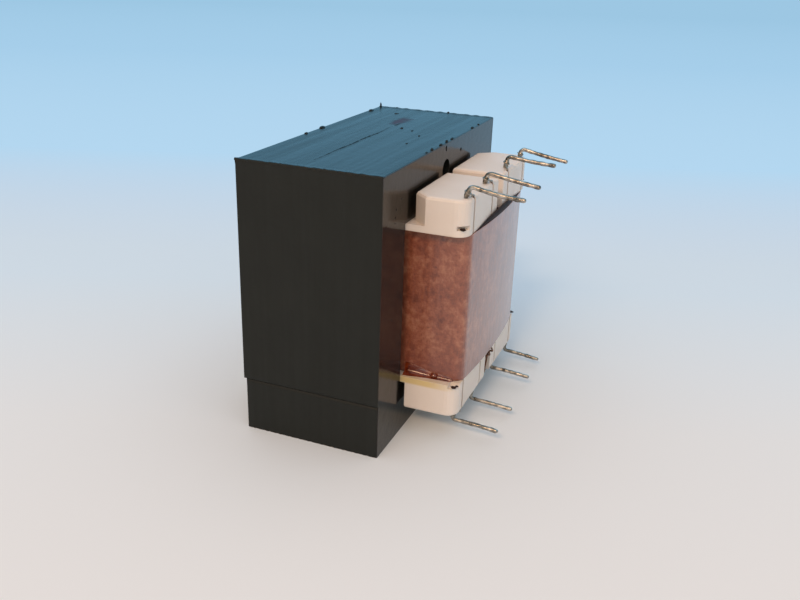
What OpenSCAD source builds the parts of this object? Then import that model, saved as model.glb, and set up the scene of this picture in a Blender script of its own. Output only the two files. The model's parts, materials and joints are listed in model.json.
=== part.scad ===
// PCB transformer: a varnished core of E and I laminations, butted together, round a moulded
// bobbin with a wrapped coil. Eight bent pins stand out of the bobbin's four pin blocks.
//
// Axes: +X is the way the pins point, +Y runs along the core and +Z is up.
// Origin: the centre of the core's lower edge face, on which the transformer stands.

/* [Core] */
// Thickness of one lamination
plate_t = 0.5; // [0.35:0.05:0.65]
// Number of E laminations in the stack
plate_count = 50; // [40:1:60]
// Number of I laminations that are missing at the back of the stack
missing_bar_count = 1; // [0:1:3]
// Width of the centre leg
centre_leg_w = 19; // [17:0.5:22]
// Width of each side leg
side_leg_w = 9.5; // [8:0.5:12]
// Width of each window
window_w = 9.5; // [9:0.5:12]
// Height of the windows
window_h = 28.5; // [25:0.5:36]
// Height of the E's back
yoke_h = 9.5; // [8:0.5:12]
// Height of the I bar
bar_h = 9.5; // [8:0.5:12]
// Most that the edge of one lamination stands back from the stack's outline
edge_play = 0.08; // [0.02:0.01:0.15]
// Diameter of the hole through the E's back
yoke_hole_d = 3.8; // [2:0.1:5]

/* [Bobbin] */
// Clearance between the centre leg and the bobbin's tube
leg_clearance = 0.2; // [0.1:0.05:0.4]
// Wall of the bobbin's tube
tube_wall = 0.8; // [0.5:0.1:1.2]
// Thickness of the two flanges
flange_t = 1.1; // [0.8:0.1:1.6]
// Clearance between a flange and the core above or below it
flange_clearance = 0.1; // [0.05:0.05:0.3]
// Clearance between a flange and the side legs
side_clearance = 0.5; // [0.3:0.1:1]
// How far the flanges reach past the back of the core
back_reach = 7.3; // [6.5:0.1:9]
// Radius of the flanges' corners at the back
back_corner_r = 2.5; // [0.5:0.1:4]
// Gap between the core's front and the pin blocks
block_standoff = 0.7; // [0.3:0.1:1.5]
// Depth of a pin block from back to front
block_depth = 9.4; // [8:0.1:12]
// Height of a pin block past its flange
block_h = 4.9; // [4:0.1:6]
// Gap between the two pin blocks of a row
block_gap = 3.4; // [2:0.1:5]
// Radius of the pin blocks' outer corners at the front
front_corner_r = 2.2; // [1:0.1:3]
// Depth of the shoulder cut off the upper blocks beside the core
shoulder_x = 2.4; // [1:0.1:4]
// Width of the same shoulder
shoulder_y = 2.2; // [1:0.1:4]
// Rounding of the pin blocks' outer rims
rim_r = 0.5; // [0.2:0.1:0.8]
// Depth of the notch between two blocks in the flange's front edge
middle_notch = 1.5; // [0.8:0.1:2.5]
// Width of the wire grooves in the front of the blocks
groove_w = 0.7; // [0.5:0.1:1]
// Depth of the wire grooves
groove_d = 0.8; // [0.7:0.1:1.2]
// Distance from a pin to its wire groove, along the row
groove_offset = 1.5; // [1.2:0.1:2]
// Height of the slot at each outer front corner
corner_slot_h = 0.7; // [0.4:0.1:1]
// Length of the same slot, along and across the row
corner_slot_l = 1.7; // [1:0.1:2.2]

/* [Windings] */
// Distance from the coil's sides to the edges of the flanges
coil_margin = 1.9; // [1.8:0.1:2.8]
// Build of the primary winding beside and behind the tube
primary_side = 3; // [2:0.1:3.6]
// Build of the primary winding in front of the tube
primary_front = 4.4; // [3.5:0.1:4.6]
// Thickness of the insulation between the windings
insulation_t = 0.3; // [0.1:0.05:0.4]
// Build of the secondary winding in front of the tube
secondary_front = 3.4; // [2.5:0.1:3.6]
// Thickness of the pad over the lead-outs, in front of the coil
pad_t = 1.4; // [1.1:0.1:1.6]
// Width of the same pad
pad_w = 24; // [14:1:26]
// Thickness of the outer wrap
wrap_t = 0.4; // [0.2:0.05:0.6]
// How far the front of the coil bows out at its middle
coil_bow = 0.7; // [0.3:0.1:1]
// Radius of the coil's outer corners
coil_corner_r = 1.6; // [1:0.1:2.5]
// Radius of the inner windings' corners
winding_corner_r = 2.6; // [1:0.1:3]
// Clearance between the coil and each flange
coil_clearance = 0.1; // [0.05:0.05:0.3]
// Width of the lap where the wrap ends, at the back
lap_w = 11; // [5:0.5:20]
// Width of the varnish that has set along the coil's lower edge
varnish_w = 1.6; // [0.6:0.1:1.8]

/* [Pins] */
// Diameter of the pins
pin_d = 0.7; // [0.5:0.05:1]
// Distance between the two pins of one block
pin_pitch = 10.16; // [8.5:0.01:11]
// Distance from a row's outer pin to the end of its flange
pin_edge = 1.99; // [1.8:0.01:2.5]
// Distance from a pin's root to the front of its block
pin_inset = 1.1; // [0.9:0.1:1.6]
// Depth to which a pin is pressed into its block
pin_seat = 3.6; // [2:0.1:3.8]
// Radius of the bend, at the middle of the wire
bend_r = 0.7; // [0.6:0.05:0.9]
// Height of the upper pins' bends over their block
upper_rise = [1.9, 1.8, 2.1, 1.5]; // [1.5:0.1:2.5]
// Angle by which the upper pins droop
upper_droop = [7.5, 9, 5, 10]; // [0:0.5:12]
// Reach of the upper pins from their root
upper_reach = [9.6, 9.5, 9.1, 9.2]; // [6:0.1:14]
// Depth of the lower pins' bends below their block
lower_rise = [1.3, 2.2, 1.6, 2.2]; // [1.3:0.1:2.4]
// Angle by which the lower pins droop
lower_droop = [3.5, 4, 4, 6]; // [0:0.5:6]
// Reach of the lower pins from their root
lower_reach = [8.3, 8.1, 8, 7.5]; // [6:0.1:9]

/* [Lead wires] */
// Diameter of the lead wires
lead_d = 0.3; // [0.2:0.02:0.36]
// Depth of the lead wires in their grooves, from the front of the block
lead_depth = 0.55; // [0.5:0.05:0.6]
// Distance of the two leads in the middle notch from its middle
notch_lead_y = 0.8; // [0.4:0.1:1.2]
// Length of lead wire that shows inside the coil
lead_tail = 1.2; // [0.8:0.1:2]
// Thickness of solder round a pin's root
solder_t = 0.16; // [0.1:0.02:0.25]

/* [Hidden] */

$fn = 40;
// How far a cut runs past the face it starts from
over = 1;

// Core: x is measured from the middle of the stack
stack_t = plate_t * plate_count;
core_front = stack_t / 2;
core_back = -stack_t / 2;
core_half_l = centre_leg_w / 2 + window_w + side_leg_w;
window_top = bar_h + window_h;
core_top = window_top + yoke_h;

// Bobbin
tube_x = core_front + leg_clearance + tube_wall;
tube_y = centre_leg_w / 2 + leg_clearance + tube_wall;
flange_y = centre_leg_w / 2 + window_w - side_clearance;
flange_back = core_back - back_reach;
block_back = core_front + block_standoff;
block_front = block_back + block_depth;
upper_outside = window_top - flange_clearance;
upper_inside = upper_outside - flange_t;
lower_outside = bar_h + flange_clearance;
lower_inside = lower_outside + flange_t;
upper_face = upper_outside + block_h;
lower_face = lower_outside - block_h;

// Coil
coil_bottom = lower_inside + coil_clearance;
coil_h = upper_inside - coil_clearance - coil_bottom;
insulated_side = primary_side + insulation_t;
insulated_front = primary_front + insulation_t;
wound_side = flange_y - coil_margin - wrap_t - tube_y;
wound_front = insulated_front + secondary_front;
padded_front = wound_front + pad_t;
varnish_lip = 0.15;

// Pins, numbered along each row from -Y to +Y: 1 to 4 above, 5 to 8 below
pin_r = pin_d / 2;
pin_x = block_front - pin_inset;
outer_pin_y = flange_y - pin_edge;
inner_pin_y = outer_pin_y - pin_pitch;
pin_y = [-outer_pin_y, -inner_pin_y, inner_pin_y, outer_pin_y];
solder_r = pin_r + solder_t;
bend_lap = 0.2;
bend_steps = 6;
bend_sides = 16;
bend_thinning = 0.005;

// Lead wires
lead_r = lead_d / 2;
lead_x = pin_inset - lead_depth;
lead_lift = 0.05;
lead_sides = 8;

// Points along an arc of n steps, from angle a to angle b
function arc(cx, cy, r, a, b, n = 6) =
    [for (k = [0 : n]) let (t = a + (b - a) * k / n) [cx + r * cos(t), cy + r * sin(t)]];

// A rectangle from x0 to x1 and y0 to y1, with its corners' radii going round from (x0, y0)
function rounded(x0, x1, y0, y1, radii) = concat(
    arc(x0 + radii[0], y0 + radii[0], radii[0], 180, 270),
    arc(x1 - radii[1], y0 + radii[1], radii[1], 270, 360),
    arc(x1 - radii[2], y1 - radii[2], radii[2], 0, 90),
    arc(x0 + radii[3], y1 - radii[3], radii[3], 90, 180));

// Outline of a winding: rounded corners, and a front that bows out on an arc tangent to them
function coil_outline(side, front, r, bow) =
    let (h = tube_y + side - r,
        back = -tube_x - side + r,
        big = (h * h + bow * bow) / (2 * bow),
        centre = tube_x + front - big,
        lean = asin(h / (big - r)),
        corner = centre + (big - r) * cos(lean))
    concat(
        arc(back, -h, r, 180, 270),
        arc(corner, -h, r, -90, -lean),
        [for (p = arc(centre, 0, big, -lean, lean, 14)) if (abs(p.y) < h * 0.999) p],
        arc(corner, h, r, lean, 90),
        arc(back, h, r, 90, 180));

// How far plate i stands back from the stack's outline, spread evenly by the golden angle
function stand_back(i) = edge_play * (0.5 + 0.5 * sin(137.508 * i));

// Unit vector along v, and the direction of a path at its point i
function unit(v) = v / norm(v);
function heading(p, i) =
    i == 0 ? unit(p[1] - p[0]) :
    i == len(p) - 1 ? unit(p[i] - p[i - 1]) :
    unit(unit(p[i] - p[i - 1]) + unit(p[i + 1] - p[i]));

// One sideways vector per point of the path, each turned as little as possible from the last
function sideways(p, u, i = 0) =
    i == len(p) ? [] :
    let (d = heading(p, i), v = unit(u - d * (u * d)))
    concat([v], sideways(p, v, i + 1));

// A round wire along path p, as one closed polyhedron
module wire(p, r, sides, start) {
    n = len(p);
    across = sideways(p, start);
    points = [for (i = [0 : n - 1]) let (u = across[i], v = cross(heading(p, i), u))
        for (k = [0 : sides - 1]) p[i] + r * (u * cos(360 * k / sides) + v * sin(360 * k / sides))];
    skin = [for (i = [0 : n - 2]) for (k = [0 : sides - 1]) let (m = (k + 1) % sides)
        [i * sides + k, (i + 1) * sides + k, (i + 1) * sides + m, i * sides + m]];
    ends = [[for (k = [0 : sides - 1]) k], [for (k = [0 : sides - 1]) n * sides - 1 - k]];
    polyhedron(points, concat(skin, ends));
}

// Places children on a pin block's outer face, at pin i, with +Z out of the face
module on_block(i) {
    upper = i < 4;
    translate([pin_x, pin_y[i % 4], upper ? upper_face : lower_face])
        mirror([0, 0, upper ? 0 : 1]) children();
}

// Extrudes a Y-Z outline from x to x + t
module plate(x, t) {
    translate([x, 0, 0]) rotate([90, 0, 90]) linear_extrude(t) children();
}

module e_outline(back) {
    difference() {
        translate([-core_half_l + back, bar_h])
            square([2 * (core_half_l - back), core_top - back - bar_h]);
        for (s = [-1, 1])
            translate([s * (centre_leg_w + window_w) / 2 - window_w / 2, bar_h - over])
                square([window_w, window_h + over]);
    }
}

module e_laminations() {
    color("#23231f") difference() {
        union() for (i = [0 : plate_count - 1])
            plate(core_back + i * plate_t, plate_t) e_outline(stand_back(i));
        plate(core_back - over, stack_t + 2 * over)
            translate([0, window_top + yoke_h / 2]) circle(d = yoke_hole_d);
    }
}

module i_laminations() {
    color("#23231f") for (i = [missing_bar_count : plate_count - 1])
        plate(core_back + i * plate_t, plate_t)
            translate([-core_half_l + stand_back(i + 7), 0])
                square([2 * (core_half_l - stand_back(i + 7)), bar_h]);
}

// Outline of the pin block on the +Y side, drawn in by i; the shoulder is cut where s is 1
module block_outline(i, s) {
    r = front_corner_r - i;
    x0 = block_back + i;
    x1 = block_front - i;
    y0 = block_gap / 2 + i;
    y1 = flange_y - i;
    polygon(concat(
        [[x0, y0], [x1, y0]],
        arc(x1 - r, y1 - r, r, 0, 90),
        s == 1 ? [[x0 + shoulder_x, y1], [x0, y1 - shoulder_y]] : [[x0, y1]]));
}

// One pin block standing on its flange, its outer rim rounded in two steps
module pin_block(s) {
    hull() {
        linear_extrude(block_h - rim_r) block_outline(0, s);
        linear_extrude(block_h - rim_r * 0.29) block_outline(rim_r * 0.29, s);
        linear_extrude(block_h) block_outline(rim_r, s);
    }
}

// Flange with its two pin blocks, from the flange's inside face outwards along +Z
module bobbin_end(s) {
    difference() {
        union() {
            linear_extrude(flange_t)
                polygon(rounded(flange_back, block_front, -flange_y, flange_y,
                    [back_corner_r, front_corner_r, front_corner_r, back_corner_r]));
            translate([0, 0, flange_t]) for (m = [0, 1]) mirror([0, m, 0]) pin_block(s);
        }
        // Notch between the blocks
        translate([block_front - middle_notch, -block_gap / 2, -over])
            cube([middle_notch + over, block_gap, flange_t + 2 * over]);
        for (y = pin_y) {
            // Hole for the pin
            translate([pin_x, y, flange_t + block_h - pin_seat]) cylinder(r = pin_r, h = pin_seat + over);
            // Groove for its wire
            translate([block_front - groove_d, y - sign(y) * groove_offset - groove_w / 2, -over])
                cube([groove_d + over, groove_w, flange_t + block_h + 2 * over]);
        }
    }
}

// Slots at the outer front corners, from height z up
module corner_slots(z) {
    for (s = [-1, 1])
        translate([block_front - corner_slot_l / 2 + over, s * (flange_y - corner_slot_l / 2 + over),
            z + corner_slot_h / 2])
            cube([corner_slot_l + 2 * over, corner_slot_l + 2 * over, corner_slot_h], center = true);
}

module bobbin() {
    color("#d9ccb8") difference() {
        union() {
            translate([0, 0, lower_outside]) linear_extrude(upper_outside - lower_outside)
                polygon(rounded(-tube_x, tube_x, -tube_y, tube_y, [1, 1, 1, 1]));
            translate([0, 0, upper_inside]) bobbin_end(1);
            translate([0, 0, lower_inside]) mirror([0, 0, 1]) bobbin_end(0);
        }
        translate([0, 0, (upper_outside + lower_outside) / 2])
            cube([stack_t + 2 * leg_clearance, centre_leg_w + 2 * leg_clearance,
                upper_outside - lower_outside + 2 * over], center = true);
        corner_slots(upper_outside);
        corner_slots(lower_inside - corner_slot_h);
    }
}

// A ring of winding between two outlines, as high as the coil
module coil_ring() {
    translate([0, 0, coil_bottom]) linear_extrude(coil_h) difference() {
        children(0);
        children(1);
    }
}

module tube_shape() {
    polygon(rounded(-tube_x, tube_x, -tube_y, tube_y, [1, 1, 1, 1]));
}

module primary_shape() {
    polygon(coil_outline(primary_side, primary_front, winding_corner_r, coil_bow / 2));
}

module insulated_shape() {
    polygon(coil_outline(insulated_side, insulated_front, winding_corner_r + insulation_t, coil_bow / 2));
}

module wound_shape() {
    polygon(coil_outline(wound_side, wound_front, winding_corner_r + insulation_t, coil_bow / 2));
}

// Inside of the wrap: it bridges the pad, so its front is flatter and its corners tighter
module padded_shape() {
    polygon(coil_outline(wound_side, padded_front, coil_corner_r, coil_bow));
}

module wrapped_shape() {
    polygon(coil_outline(wound_side + wrap_t, padded_front + wrap_t, coil_corner_r + wrap_t, coil_bow));
}

module primary_winding() {
    color("#a8552c") coil_ring() {
        primary_shape();
        tube_shape();
    }
}

module winding_insulation() {
    color("#c9a35a") coil_ring() {
        insulated_shape();
        primary_shape();
    }
}

module secondary_winding() {
    color("#b4622f") coil_ring() {
        wound_shape();
        insulated_shape();
    }
}

module lead_pad() {
    color("#8a6242") translate([0, 0, coil_bottom + lead_tail])
        linear_extrude(coil_h - 2 * lead_tail) intersection() {
            difference() {
                padded_shape();
                wound_shape();
            }
            translate([tube_x, -pad_w / 2]) square([padded_front + over, pad_w]);
        }
}

module outer_wrap() {
    color("#7d4733") {
        coil_ring() {
            wrapped_shape();
            padded_shape();
        }
        // The wrap's end laps over it at the back
        translate([-tube_x - wound_side - 1.5 * wrap_t, -lap_w / 2, coil_bottom])
            cube([wrap_t / 2, lap_w, coil_h]);
    }
}

// Varnish that has run down the side of the coil and set on the lower flange
module varnish_fillet() {
    color("#8f3f1c") translate([0, -tube_y - wound_side - wrap_t, lower_inside])
        plate(block_back, tube_x + padded_front - coil_bow - coil_corner_r - block_back)
            difference() {
                translate([-varnish_w, 0]) square([varnish_w, varnish_w]);
                translate([-varnish_w - varnish_lip, varnish_w + varnish_lip]) circle(r = varnish_w);
            }
}

// A pin pressed into its block: a root, a bend of 90 degrees plus its droop, and a straight shank.
// The bend is thinner than the two by a hair, and runs a little way into each.
module bent_pin(rise, droop, reach) {
    root = rise - bend_r;
    turn = 90 + droop;
    bend_end = [bend_r * (1 - cos(turn)), 0, root + bend_r * sin(turn)];
    shank = (reach - pin_r - bend_end.x) / cos(droop);
    color("#b9b3a6") {
        translate([0, 0, -pin_seat]) cylinder(r = pin_r, h = pin_seat + root);
        wire(concat(
            [[0, 0, root - bend_lap]],
            [for (k = [0 : bend_steps]) let (t = turn * k / bend_steps)
                [bend_r * (1 - cos(t)), 0, root + bend_r * sin(t)]],
            [bend_end + bend_lap * [sin(turn), 0, cos(turn)]]),
            pin_r - bend_thinning, bend_sides, [0, 1, 0]);
        translate(bend_end) rotate([0, turn, 0]) {
            cylinder(r = pin_r, h = shank);
            translate([0, 0, shank]) sphere(r = pin_r);
        }
    }
}

module pin(i) {
    on_block(i) if (i < 4) bent_pin(upper_rise[i], upper_droop[i], upper_reach[i]);
        else bent_pin(lower_rise[i - 4], -lower_droop[i - 4], lower_reach[i - 4]);
}

// Height of the straight root that the solder covers, at pin i
function root_h(i) = (i < 4 ? upper_rise[i] : lower_rise[i - 4]) - bend_r;

// A collar of solder with two soft humps, soaked into the turns of the lead wire
module solder(i) {
    h = root_h(i) - 0.05;
    color("#a9a498") on_block(i) rotate_extrude() polygon(concat(
        [[pin_r, 0]],
        [for (k = [0 : 12]) [pin_r + solder_t * (0.55 + 0.45 * abs(sin(30 * k))), h * 0.94 * k / 12]],
        [[pin_r, h]]));
}

// Where the lead of pin i joins its solder, turned by angle a about the pin
function lead_end(i, a) =
    let (d = solder_r + 0.02)
    [d * cos(a), d * sin(a), max(lead_r + lead_lift, root_h(i) / 2)];

// A lead that comes up the groove beside its pin and bends over the block's edge
function groove_path(i) =
    let (y = -sign(pin_y[i % 4]) * groove_offset,
        a = atan2(y, lead_x),
        end = lead_end(i, a),
        over = lead_r + lead_lift)
    [[lead_x, y, -block_h - flange_t - lead_tail + lead_lift],
        [lead_x, y, -block_h / 2],
        [lead_x, y, -over],
        [lead_x, y, over],
        [lead_x * 0.85, y * 0.85, over + 0.05],
        end];

// A lead that loops out of the notch between the blocks and runs under its own block
function notch_path(i) =
    let (s = -sign(pin_y[i % 4]),
        y = s * (inner_pin_y - notch_lead_y),
        end = lead_end(i, s * 90),
        over = lead_r + lead_lift)
    [[lead_x, y, -block_h - flange_t - lead_tail + lead_lift],
        [lead_x, y, -block_h - flange_t - 0.2],
        [pin_inset - 0.1, y, -block_h - flange_t + 0.35],
        [pin_inset + 0.35, y - s * 0.1, -block_h - 0.3],
        [pin_inset - 0.1, y - s * 0.2, -block_h + 0.4],
        [lead_x, y - s * 0.2, -block_h + 1.2],
        [lead_x / 2, y - s * 0.2, -over],
        [lead_x / 2, y - s * 0.3, over],
        [lead_x / 4, y - s * 0.7, over + 0.1],
        [0, s * 2, end.z],
        end];

module lead(i) {
    color("#9c5a2e") on_block(i)
        wire(i == 5 || i == 6 ? notch_path(i) : groove_path(i), lead_r, lead_sides, [0, 1, 0]);
}

e_laminations();
i_laminations();
bobbin();
primary_winding();
winding_insulation();
secondary_winding();
lead_pad();
outer_wrap();
varnish_fillet();
for (i = [0 : 7]) {
    pin(i);
    lead(i);
    solder(i);
}
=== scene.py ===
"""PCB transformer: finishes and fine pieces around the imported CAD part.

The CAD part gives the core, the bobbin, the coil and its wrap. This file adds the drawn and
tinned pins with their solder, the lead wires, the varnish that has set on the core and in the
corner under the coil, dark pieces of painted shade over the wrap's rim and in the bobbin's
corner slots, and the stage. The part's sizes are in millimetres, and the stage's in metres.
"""

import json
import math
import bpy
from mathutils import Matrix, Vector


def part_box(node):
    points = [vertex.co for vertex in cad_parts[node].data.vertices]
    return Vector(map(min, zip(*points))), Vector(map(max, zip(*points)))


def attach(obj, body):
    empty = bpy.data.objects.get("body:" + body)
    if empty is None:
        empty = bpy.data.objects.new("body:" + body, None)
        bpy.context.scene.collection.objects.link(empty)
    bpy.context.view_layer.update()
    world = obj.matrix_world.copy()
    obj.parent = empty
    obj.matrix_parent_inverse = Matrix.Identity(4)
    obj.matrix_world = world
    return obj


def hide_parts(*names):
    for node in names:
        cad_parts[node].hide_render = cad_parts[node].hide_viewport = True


bl_info = {
    "name": "PCB Transformer Looks",
    "version": (1, 0, 0),
    "blender": (4, 5, 0),
    "location": "3D View > Sidebar > Transformer",
    "description": "Varnished core, wrapped coil, soldered pins and stage for a PCB transformer",
    "category": "Object",
}

import bpy
import numpy as np
from bpy.props import FloatProperty, FloatVectorProperty, IntProperty, PointerProperty
from mathutils import Matrix, Vector

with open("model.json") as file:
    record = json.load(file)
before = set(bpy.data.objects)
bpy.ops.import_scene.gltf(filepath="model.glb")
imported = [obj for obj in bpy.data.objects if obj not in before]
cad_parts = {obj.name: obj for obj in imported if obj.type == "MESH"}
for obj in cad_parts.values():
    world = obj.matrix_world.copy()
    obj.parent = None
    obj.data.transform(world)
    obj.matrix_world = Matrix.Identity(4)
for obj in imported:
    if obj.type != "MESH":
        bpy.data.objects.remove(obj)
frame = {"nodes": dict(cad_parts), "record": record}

MM = 0.001
BODY = "root"
MOUNTS = {m["name"]: m for m in frame["record"]["mounts"]}

# Radii of the pins, their bends, their solder and the lead wires
PIN_R, BEND_R, SOLDER_R, LEAD_R = 0.35, 0.7, 0.51, 0.15
# Forward lean of each pin's root in degrees, and the sag of its shank at its middle
PINS = ((22, 0.2), (14, 0.04), (10, 0.1), (10, 0.1), (4, 0.08), (4, 0.03), (5, 0.08), (4, 0.06))
# How far the points of a pin's path keep off the kink of its root
KINK = 0.15
# Rings over which a pin's tip closes
TIP_RINGS = 7

# The core's coat: its thickness, the radius of its rims, how far they reach past the end plates,
# and how deep its edges go in
COAT, COAT_RIM, COAT_PAST, COAT_IN = 0.05, 0.23, 0.03, 0.3
# Beads and burrs on the core's top: place along X and Y, and three half sizes
TOP_BEADS = (
    (-11.9, 22.5, 0.5, 0.9, 0.3), (-12.2, 0.8, 0.45, 0.9, 0.35), (-12.2, -5.5, 0.3, 0.5, 0.25),
    (-12.2, 28.2, 0.2, 0.2, 0.9), (-8.5, 28.3, 0.4, 0.3, 0.2), (2.9, 28.3, 0.3, 0.3, 0.3),
    (-6.1, 22.1, 0.5, 0.7, 0.16), (-1.5, 11.2, 0.35, 1.4, 0.14), (0.7, 8.1, 0.3, 0.5, 0.2),
    (3.3, 6.7, 0.2, 0.4, 0.15), (6.1, 3.0, 0.2, 0.4, 0.14), (6.6, -4.3, 0.25, 0.5, 0.14),
    (12.2, 15.3, 0.3, 0.6, 0.3), (12.2, 19.2, 0.25, 0.3, 0.22), (12.2, 3.6, 0.3, 0.9, 0.3),
    (12.2, 0.5, 0.25, 0.4, 0.4), (12.2, -2.5, 0.3, 0.7, 0.3), (12.2, -6.9, 0.3, 0.6, 0.35),
    (12.2, -9.6, 0.2, 0.4, 0.2), (-4.5, -28.4, 0.7, 0.2, 0.2), (3.0, -28.4, 0.5, 0.2, 0.22),
    (7.5, -28.4, 0.4, 0.2, 0.18), (-9.0, -28.4, 0.8, 0.2, 0.16),
)
# Drips on the yoke's front: place along Y and Z, and three half sizes
DRIPS = ((-0.3, 46.6, 0.12, 0.2, 0.5), (8.0, 44.9, 0.12, 0.25, 0.3))
# Bubbles on the near leg's front: place along Y and Z, and half size
BUBBLES = ((-22.9, 41.3, 0.2), (-23.2, 40.1, 0.16), (-23.3, 39.2, 0.1), (-23.6, 23.1, 0.14),
    (-20.9, 42.6, 0.08), (-24.6, 30.5, 0.09), (-22.0, 17.2, 0.1))
# Smear of dried varnish on the core's top: its middle, its turn in radians and its half sizes
SMEAR_PLACE, SMEAR_TURN, SMEAR_HALF = (-2.2, 14.5, 47.5), 0.55, (1.6, 4.8, 2.0)
# The ridge of varnish along the core's top: its X, and its ends along Y
RIDGE_X, RIDGE_ENDS = -1.5, (-24.7, 10.5)
# Half the length of the wrap's rim
RIM_HALF = 13.2
# Heights of the bobbin's corner slots, where dark blobs of painted shade sit
SLOT_HEIGHTS = (38.15, 10.45)

# Level direction away from the camera, and the colour of the warm lamps
AWAY = (-0.363, 0.932, 0)
WARM = "#ffcda2"

# Sockets of a Mix node set to colours: its factor, its two colours and its result
FACTOR, FROM, TO, MIXED = 0, 6, 7, 2


# ---------------------------------------------------------------- helpers


def linear(code):
    """sRGB hex colour to a linear RGBA tuple."""
    parts = [int(code[i : i + 2], 16) / 255 for i in (1, 3, 5)]
    return (*(c / 12.92 if c <= 0.04045 else ((c + 0.055) / 1.055) ** 2.4 for c in parts), 1.0)


def add(tree, kind, inputs=(), stops=(), **settings):
    """Adds one node and returns its outputs. Inputs are a tuple for its first sockets, or a dict
    by name or number, of values and of sockets to link. Stops are a ramp's places and colours."""
    node = tree.nodes.new("ShaderNode" + kind)
    for key, value in settings.items():
        setattr(node, key, value)
    for _ in stops[2:]:
        node.color_ramp.elements.new(0.5)
    for k, (place, colour) in enumerate(stops):
        node.color_ramp.elements[k].position = place
        node.color_ramp.elements[k].color = linear(colour)
    for key, value in inputs.items() if isinstance(inputs, dict) else enumerate(inputs):
        if isinstance(value, bpy.types.NodeSocket):
            tree.links.new(value, node.inputs[key])
        else:
            node.inputs[key].default_value = value
    return node.outputs


def blank(name):
    """A new material without nodes; returns it and its tree."""
    mat = bpy.data.materials.new(name)
    mat.use_nodes = True
    mat.node_tree.nodes.clear()
    return mat, mat.node_tree


def dress(names, mat):
    """Gives CAD nodes a material."""
    for name in names:
        mesh = frame["nodes"][name].data
        mesh.materials.clear()
        mesh.materials.append(mat)


def meshed(name, points, faces, mat):
    """Makes a smooth mesh object from points and from arrays of faces, one for each number of
    corners."""
    mesh = bpy.data.meshes.new(name)
    mesh.from_pydata((points * MM).tolist(), [], sum((part.tolist() for part in faces), []))
    mesh.update()
    mesh.polygons.foreach_set("use_smooth", np.full(len(mesh.polygons), True))
    mesh.materials.append(mat)
    made = bpy.data.objects.new(name, mesh)
    bpy.context.scene.collection.objects.link(made)
    return made


def piece(name, shape, mat, replaces=()):
    """Makes a piece of a shape's points and faces, and lets it ride on the body."""
    made = meshed(name, *shape, mat)
    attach(made, BODY)
    if replaces:
        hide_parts(*replaces)


def grid_faces(rows, columns):
    """Quads between the points of a grid, row by row."""
    i = (np.arange(rows - 1)[:, None] * columns + np.arange(columns - 1)[None]).reshape(-1)
    return np.stack([i, i + 1, i + columns + 1, i + columns], -1)


def tube_faces(rings, sides):
    """Quads of a closed tube of so many rings, and the triangles from its first and last ring to
    two poles, which are the points after the rings."""
    i = np.arange(rings - 1)[:, None] * sides
    k = np.arange(sides)[None]
    m = (k + 1) % sides
    quads = np.stack([i + k, i + m, i + m + sides, i + k + sides], -1).reshape(-1, 4)
    poles, end = rings * sides, (rings - 1) * sides
    low = np.stack([np.full(sides, poles), m[0], k[0]], -1)
    high = np.stack([np.full(sides, poles + 1), end + k[0], end + m[0]], -1)
    return [quads, np.vstack([low, high])]


def spline(points, steps):
    """Catmull-Rom curve through the points, in so many steps per span."""
    p = np.asarray(points, float)
    p = np.vstack([2 * p[0] - p[1], p, 2 * p[-1] - p[-2]])
    t = np.linspace(0, 1, steps, endpoint=False)[:, None]
    spans = [0.5 * ((2 * p[i + 1]) + (p[i + 2] - p[i]) * t
        + (2 * p[i] - 5 * p[i + 1] + 4 * p[i + 2] - p[i + 3]) * t ** 2
        + (3 * p[i + 1] - p[i] - 3 * p[i + 2] + p[i + 3]) * t ** 3) for i in range(len(p) - 3)]
    return np.vstack(spans + [p[-2][None]])


def swept(path, radius, side, sides=16):
    """A closed tube: point(s, a) = path(s) + radius(s, a) * (u cos a + v sin a), where u is side
    less its part along the path's tangent, and v is the cross product of tangent and u. The radius
    is an array of rings by sides, or one number."""
    t = np.gradient(path, axis=0)
    t /= np.linalg.norm(t, axis=1, keepdims=True)
    side = np.asarray(side, float)
    u = side - t * (t @ side)[:, None]
    u /= np.linalg.norm(u, axis=1, keepdims=True)
    v = np.cross(t, u)
    a = np.linspace(0, 2 * math.pi, sides, endpoint=False)[None, :, None]
    r = np.broadcast_to(radius, (len(path), sides))[..., None]
    ring = path[:, None] + r * (u[:, None] * np.cos(a) + v[:, None] * np.sin(a))
    return np.vstack([ring.reshape(-1, 3), path[:1], path[-1:]]), tube_faces(len(path), sides)


def waves(length, seed, count, low, high):
    """A smooth random function along a length: a sum of sines with wavelengths from low to high,
    scaled to lie between -1 and 1."""
    rng = np.random.default_rng(seed)
    k = 2 * math.pi / rng.uniform(low, high, count)
    p = rng.uniform(0, 2 * math.pi, count)
    w = rng.uniform(0.4, 1, count)
    return (np.sin(np.asarray(length)[..., None] * k + p) * w).sum(-1) / w.sum()


def lengths(path):
    """Distance along a path at each of its points."""
    return np.concatenate([[0], np.cumsum(np.linalg.norm(np.diff(path, axis=0), axis=1))])


# ---------------------------------------------------------------- settings


class CoreSettings(bpy.types.PropertyGroup):
    """Settings of the core's varnish"""
    gloss: FloatProperty(name="Gloss roughness", default=0.16, min=0.13, max=0.6, subtype="FACTOR",
        description="Roughness of the varnish on the stack's edges between its runs")
    streaks: FloatProperty(name="Streak depth", default=0.03, min=0, max=0.1,
        description="Depth of the varnish streaks along the stack, in millimetres")


class PinSettings(bpy.types.PropertyGroup):
    """Settings of the pins"""
    lump: FloatProperty(name="Tin lumps", default=0.19, min=0, max=0.3, subtype="FACTOR",
        description="How far the tinning swells a pin, as a part of its radius")
    seed: IntProperty(name="Seed", default=4, min=0, description="Seed of the lumps on the pins")


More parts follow.
